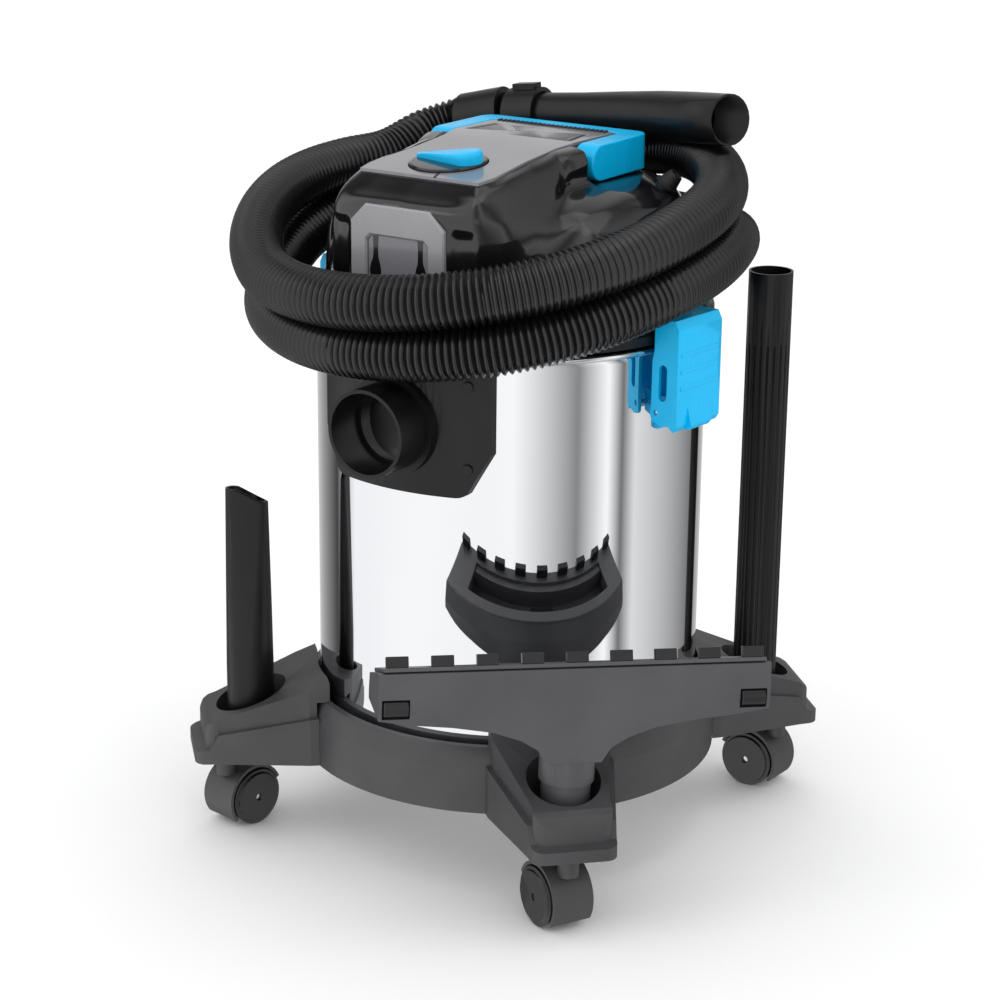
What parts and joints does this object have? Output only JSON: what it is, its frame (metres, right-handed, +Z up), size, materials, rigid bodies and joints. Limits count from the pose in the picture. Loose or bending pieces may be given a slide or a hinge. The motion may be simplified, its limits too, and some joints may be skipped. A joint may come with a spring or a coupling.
{
  "type": "shop vacuum",
  "caption": "Upright wet and dry vacuum with a polished steel tank on a cross-shaped caster base, a latched motor head, a coiled hose and stored floor tools.",
  "frame": {"origin": "tank axis at floor level, centred between the four casters", "axes": "+Z up along the tank axis, -Y out of the inlet port, +X towards the right-hand latch"},
  "size_m": [0.4712, 0.4754, 0.5829],
  "materials": {
    "base_plastic": "moulded satin grain",
    "zinc_steel": "zinc plated",
    "wheel_black": "moulded",
    "stainless": "mirror polished stainless steel",
    "black_plastic": "satin",
    "head_gloss": "glossy",
    "panel_grey": "glossy",
    "vac_blue": "satin gloss",
    "soft_black": "soft",
    "hose_black": "satin",
    "motor_steel": "pressed",
    "rotor_core": "laminated",
    "filter_foam": "open cell foam",
    "float_white": "moulded",
    "bristle_black": "bristle tufts"
  },
  "bodies": {
    "dolly": {"base_ring": "base_plastic", "arm_front_left": "base_plastic", "arm_front_right": "base_plastic", "arm_rear_left": "base_plastic", "arm_rear_right": "base_plastic", "arm_screws": "zinc_steel", "tank_shell": "stainless", "inlet_housing": "black_plastic", "inlet_screws": "zinc_steel", "inlet_deflector": "black_plastic", "latch_brackets": "vac_blue", "latch_pins": "zinc_steel"},
    "swivel_front_left": {"caster_stem_front_left": "zinc_steel", "caster_hood_front_left": "base_plastic"},
    "wheels_front_left": {"caster_wheels_front_left": "wheel_black", "caster_axle_front_left": "zinc_steel"},
    "swivel_front_right": {"caster_stem_front_right": "zinc_steel", "caster_hood_front_right": "base_plastic"},
    "wheels_front_right": {"caster_wheels_front_right": "wheel_black", "caster_axle_front_right": "zinc_steel"},
    "swivel_rear_left": {"caster_stem_rear_left": "zinc_steel", "caster_hood_rear_left": "base_plastic"},
    "wheels_rear_left": {"caster_wheels_rear_left": "wheel_black", "caster_axle_rear_left": "zinc_steel"},
    "swivel_rear_right": {"caster_stem_rear_right": "zinc_steel", "caster_hood_rear_right": "base_plastic"},
    "wheels_rear_right": {"caster_wheels_rear_right": "wheel_black", "caster_axle_rear_right": "zinc_steel"},
    "latch_right": {"latch_right": "vac_blue"},
    "latch_left": {"latch_left": "vac_blue"},
    "head": {"lid": "black_plastic", "lid_gasket": "soft_black", "head_housing": "head_gloss", "top_panel": "panel_grey", "badge_plate": "panel_grey", "exhaust_grille": "black_plastic", "cable_gland": "soft_black", "wand_rest": "black_plastic", "handle_pins": "zinc_steel", "switch_body": "black_plastic", "fan_housing": "motor_steel", "motor_can": "motor_steel", "filter_cage": "black_plastic", "foam_filter": "filter_foam", "hose": "hose_black", "hose_cuff_wand": "black_plastic", "hose_cuff_tank": "black_plastic", "wand": "black_plastic"},
    "handle": {"carry_handle": "vac_blue"},
    "knob": {"switch_knob": "vac_blue"},
    "rotor": {"motor_rotor": "rotor_core"},
    "float": {"float_ball": "float_white"},
    "regulator": {"wand_regulator": "black_plastic"},
    "crevice_tool": {"crevice_tool": "black_plastic"},
    "extension_tube": {"extension_tube": "black_plastic"},
    "nozzle": {"nozzle_body": "base_plastic", "nozzle_sole": "base_plastic", "nozzle_bristles": "bristle_black"},
    "rollers": {"nozzle_rollers": "wheel_black"}
  },
  "joints": [
    {"name": "caster_swivel_front_left", "type": "hinge", "parent": "dolly", "child": "swivel_front_left", "pos_m": [-0.16122, -0.16122, 0.06], "axis": [0, 0, 1], "continuous": true},
    {"name": "wheel_spin_front_left", "type": "hinge", "parent": "swivel_front_left", "child": "wheels_front_left", "pos_m": [-0.15827, -0.14448, 0.023], "axis": [-0.9848, 0.1736, 0], "continuous": true},
    {"name": "caster_swivel_front_right", "type": "hinge", "parent": "dolly", "child": "swivel_front_right", "pos_m": [0.16122, -0.16122, 0.06], "axis": [0, 0, 1], "continuous": true},
    {"name": "wheel_spin_front_right", "type": "hinge", "parent": "swivel_front_right", "child": "wheels_front_right", "pos_m": [0.14621, -0.15324, 0.023], "axis": [-0.4695, -0.8829, 0], "continuous": true},
    {"name": "caster_swivel_rear_left", "type": "hinge", "parent": "dolly", "child": "swivel_rear_left", "pos_m": [-0.16122, 0.16122, 0.06], "axis": [0, 0, 1], "continuous": true},
    {"name": "wheel_spin_rear_left", "type": "hinge", "parent": "swivel_rear_left", "child": "wheels_rear_left", "pos_m": [-0.14448, 0.16417, 0.023], "axis": [-0.1736, 0.9848, 0], "continuous": true},
    {"name": "caster_swivel_rear_right", "type": "hinge", "parent": "dolly", "child": "swivel_rear_right", "pos_m": [0.16122, 0.16122, 0.06], "axis": [0, 0, 1], "continuous": true},
    {"name": "wheel_spin_rear_right", "type": "hinge", "parent": "swivel_rear_right", "child": "wheels_rear_right", "pos_m": [0.14423, 0.16181, 0.023], "axis": [-0.0349, -0.9994, 0], "continuous": true},
    {"name": "latch_right_hinge", "type": "hinge", "parent": "dolly", "child": "latch_right", "pos_m": [0.15763, -0.01657, 0.366], "axis": [0.1045, 0.9945, 0], "range_deg": [0, 38]},
    {"name": "latch_left_hinge", "type": "hinge", "parent": "dolly", "child": "latch_left", "pos_m": [-0.15763, 0.01657, 0.366], "axis": [-0.1045, -0.9945, 0], "range_deg": [0, 38]},
    {"name": "head_lift", "type": "slide", "parent": "dolly", "child": "head", "axis": [0, 0, 1], "range_m": [0, 0.18]},
    {"name": "handle_fold", "type": "hinge", "parent": "head", "child": "handle", "pos_m": [0, 0.006, 0.534], "axis": [1, 0, 0], "range_deg": [0, 90]},
    {"name": "switch_turn", "type": "hinge", "parent": "head", "child": "knob", "pos_m": [0, -0.086, 0.5394], "axis": [0, -0.0995, 0.995], "range_deg": [0, 60]},
    {"name": "motor_spin", "type": "hinge", "parent": "head", "child": "rotor", "pos_m": [0, 0, 0.45], "axis": [0, 0, 1], "continuous": true},
    {"name": "float_rise", "type": "slide", "parent": "head", "child": "float", "axis": [0, 0, 1], "range_m": [0, 0.0755]},
    {"name": "regulator_turn", "type": "hinge", "parent": "head", "child": "regulator", "pos_m": [-0.088, 0.118, 0.54], "axis": [0.9931, 0.0523, 0.1045], "range_deg": [0, 60]},
    {"name": "crevice_tool_lift", "type": "slide", "parent": "dolly", "child": "crevice_tool", "axis": [0, 0, 1], "range_m": [0, 0.12]},
    {"name": "extension_tube_lift", "type": "slide", "parent": "dolly", "child": "extension_tube", "axis": [0, 0, 1], "range_m": [0, 0.12]},
    {"name": "nozzle_lift", "type": "slide", "parent": "dolly", "child": "nozzle", "axis": [0, 0, 1], "range_m": [0, 0.12]},
    {"name": "roller_spin", "type": "hinge", "parent": "nozzle", "child": "rollers", "pos_m": [0.16195, -0.15624, 0.17795], "axis": [0.7067, 0.7067, -0.0332], "continuous": true}
  ]
}
